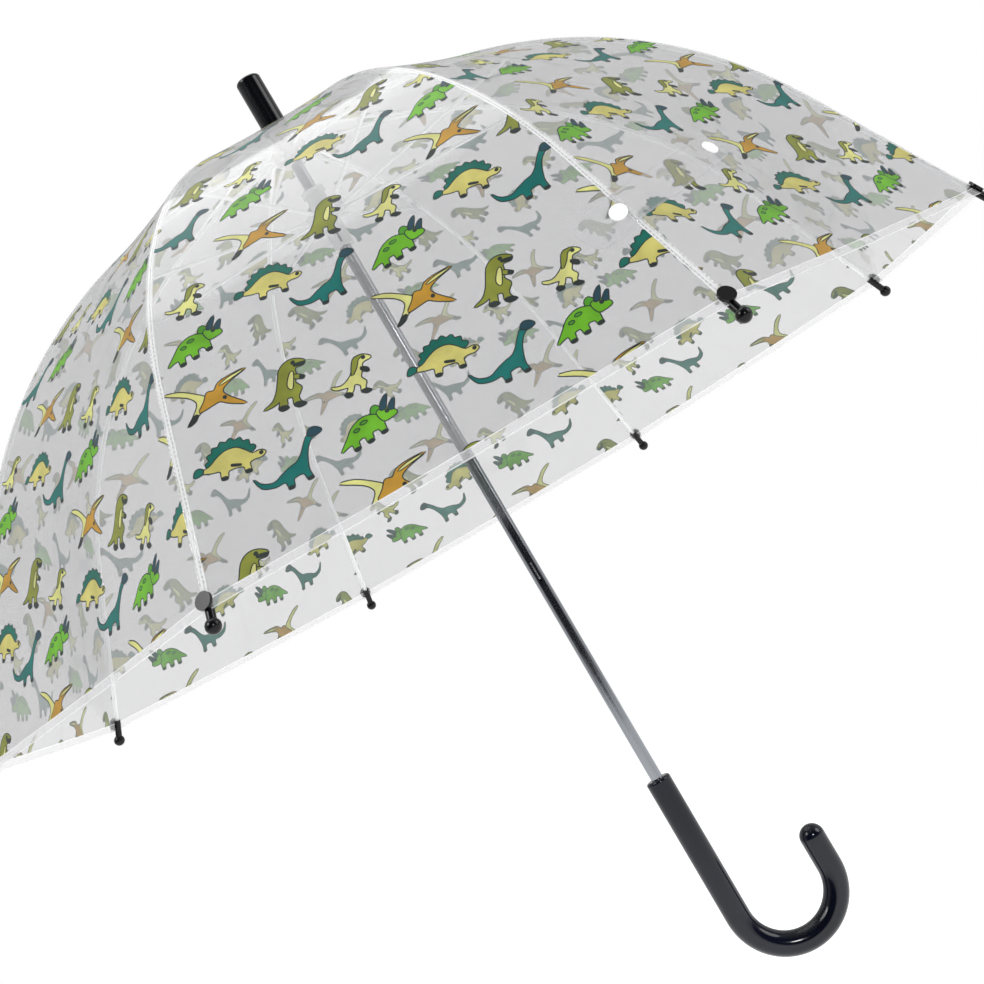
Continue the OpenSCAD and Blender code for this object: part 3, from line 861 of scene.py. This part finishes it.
def strap_piece():
    long, wide = 60, 12
    points, normals = [], []
    for k in range(long + 1):
        for j in range(wide + 1):
            t, s = k / long, 2 * j / wide - 1
            trim = 1 - 0.35 * max(0.0, (abs(t - 0.5) - 0.46) / 0.04) ** 2
            gore, u, v = strap_place(t, s * trim)
            u, v = np.array([u]), np.array([v])
            points.append(turned(on_gore(u, v, STRAP_LIFT + STRAP_T), gore)[0])
            normals.append(turned(gore_normals(u, v), gore)[0])
    points, normals = np.array(points), np.array(normals)
    grid = points.reshape(long + 1, wide + 1, 3)
    flat = (length_of(grid[long // 2]), length_of(grid[:, wide // 2]))
    faces, tones = [], []
    for k in range(long):
        for j in range(wide):
            a = k * (wide + 1) + j
            b = a + wide + 1
            edge = j in (0, wide - 1) or k in (0, 1, long - 2, long - 1)
            for face in ((a, b, b + 1), (a, b + 1, a + 1)):
                faces.append(face)
                tones.append("seam" if edge or k < 9 else "strap")
    faces = np.array(faces)
    first = points[faces[0]]
    if np.cross(first[1] - first[0], first[2] - first[0]) @ normals[0] < 0:
        faces = faces[:, ::-1]
    obj = skinned("strap", points, faces, normals[faces], tones)
    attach(obj, "rib_lower_0")
    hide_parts("closure_strap")
    return obj, flat


def stud(name, t):
    gore, u, v = strap_place(t, 0)
    u, v = np.array([u]), np.array([v])
    place = turned(on_gore(u, v, STRAP_LIFT + STRAP_T), gore)[0]
    up = turned(gore_normals(u, v), gore)[0]
    outline = [
        (4.5, 0), (4.5, 0.9), (4.3, 1.25), (3.9, 1.35), (3.5, 1.2), (3.3, 1.35), (2.9, 1.9),
        (2.1, 2.2), (1.1, 2.35), (0.3, 2.38),
    ]
    obj = lathe(name, [(r * MM, h * MM) for r, h in outline], Vector(place), up)
    paint(obj, plastic(f"{name}_white", "F4F5F5", 0.3, 1.02, coat=0.3))
    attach(obj, "rib_lower_0")
    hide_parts("press_studs")
    return obj


strap, strap_flat = strap_piece()
studs = [stud("stud_root", 0.153), stud("stud_end", 0.931)]     # at shares of its length
for piece in [strap] + studs:
    gathered(piece)


# ---- floor, light and camera ----


def floor():
    material, tree = new_material("floor_paper")
    tone = shades(tree, noise(tree, 3, 3), (0.86, 0.86, 0.86, 1), (0.9, 0.9, 0.9, 1))
    face = bump(tree, noise(tree, 400, 3), 0.05, 0.1 * MM)
    paper = node(tree, "ShaderNodeBsdfDiffuse", {"Color": tone, "Normal": face})
    lift = node(tree, "ShaderNodeEmission", {"Color": (1, 1, 1, 1), "Strength": 0.6})
    both = node(tree, "ShaderNodeAddShader", {0: paper.outputs[0], 1: lift.outputs[0]})
    output(tree, both.outputs[0])
    size, height = 6.0, -0.46
    corners = [(x * size, y * size, height) for x, y in ((-1, -1), (1, -1), (1, 1), (-1, 1))]
    obj = new_piece("floor", corners, [(0, 1, 2, 3)], [material])


def area_light(name, place, aim, size, power):
    light = bpy.data.lights.new(name, "AREA")
    light.shape = "DISK"
    light.size = size
    light.energy = power
    obj = bpy.data.objects.new(name, light)
    obj.location = place
    obj.rotation_euler = (Vector(aim) - Vector(place)).to_track_quat("-Z", "Y").to_euler()
    bpy.context.scene.collection.objects.link(obj)


def studio_sky():
    """White where it's seen; for light and gloss, a white room with a dark wall on its +X side."""
    world = bpy.data.worlds.new("studio")
    bpy.context.scene.world = world
    world.use_nodes = True
    tree = world.node_tree
    tree.nodes.clear()
    way = node(tree, "ShaderNodeTexCoord")
    part = node(tree, "ShaderNodeSeparateXYZ", {0: way.outputs["Generated"]})
    across = between(tree, part.outputs["X"], 0, 1)
    room = shades(tree, across, (1, 1, 1, 1), (0.03, 0.03, 0.04, 1), 0.05, 0.6)
    soft = node(tree, "ShaderNodeBackground", {"Color": room, "Strength": 0.75})
    white = node(tree, "ShaderNodeBackground", {"Color": (1, 1, 1, 1), "Strength": 1.0})
    ray = node(tree, "ShaderNodeLightPath")
    both = node(tree, "ShaderNodeMixShader", {
        0: ray.outputs["Is Camera Ray"], 1: soft.outputs[0], 2: white.outputs[0],
    })
    node(tree, "ShaderNodeOutputWorld", {"Surface": both.outputs[0]})


def camera():
    """The camera stands a metre off, looks slightly up, and is rolled to the right."""
    lift, roll = math.radians(3.78), math.radians(30.4)
    ahead = Vector((-math.cos(lift), 0, math.sin(lift)))
    level = ahead.cross(Vector((0, 0, 1))).normalized()
    right = level * math.cos(roll) - level.cross(ahead) * math.sin(roll)
    up = right.cross(ahead)
    data = bpy.data.cameras.new("camera")
    data.lens = 57.0
    data.sensor_width = 36
    data.shift_x = 0.0065
    data.shift_y = 0.0022
    obj = bpy.data.objects.new("camera", data)
    turn_to = Matrix((right, up, -ahead)).transposed().to_4x4()
    obj.matrix_world = Matrix.Translation((0.9996, -0.0026, TIP[1] - 0.0551)) @ turn_to
    bpy.context.scene.collection.objects.link(obj)
    bpy.context.scene.camera = obj


floor()
area_light("key", (1.2, -1.6, 2.2), (0, 0, 0.35), 1.2, 42)
area_light("fill", (0.6, 2.2, 1.0), (0, 0, 0.3), 1.4, 18)
area_light("spark", (2.0, 0.5, 0.7), (0, 0, 0.2), 0.3, 9)
area_light("top", (-0.4, 0, 2.6), (0, 0, 0.4), 2.0, 22)
studio_sky()
camera()
bpy.context.scene.view_settings.view_transform = "Standard"
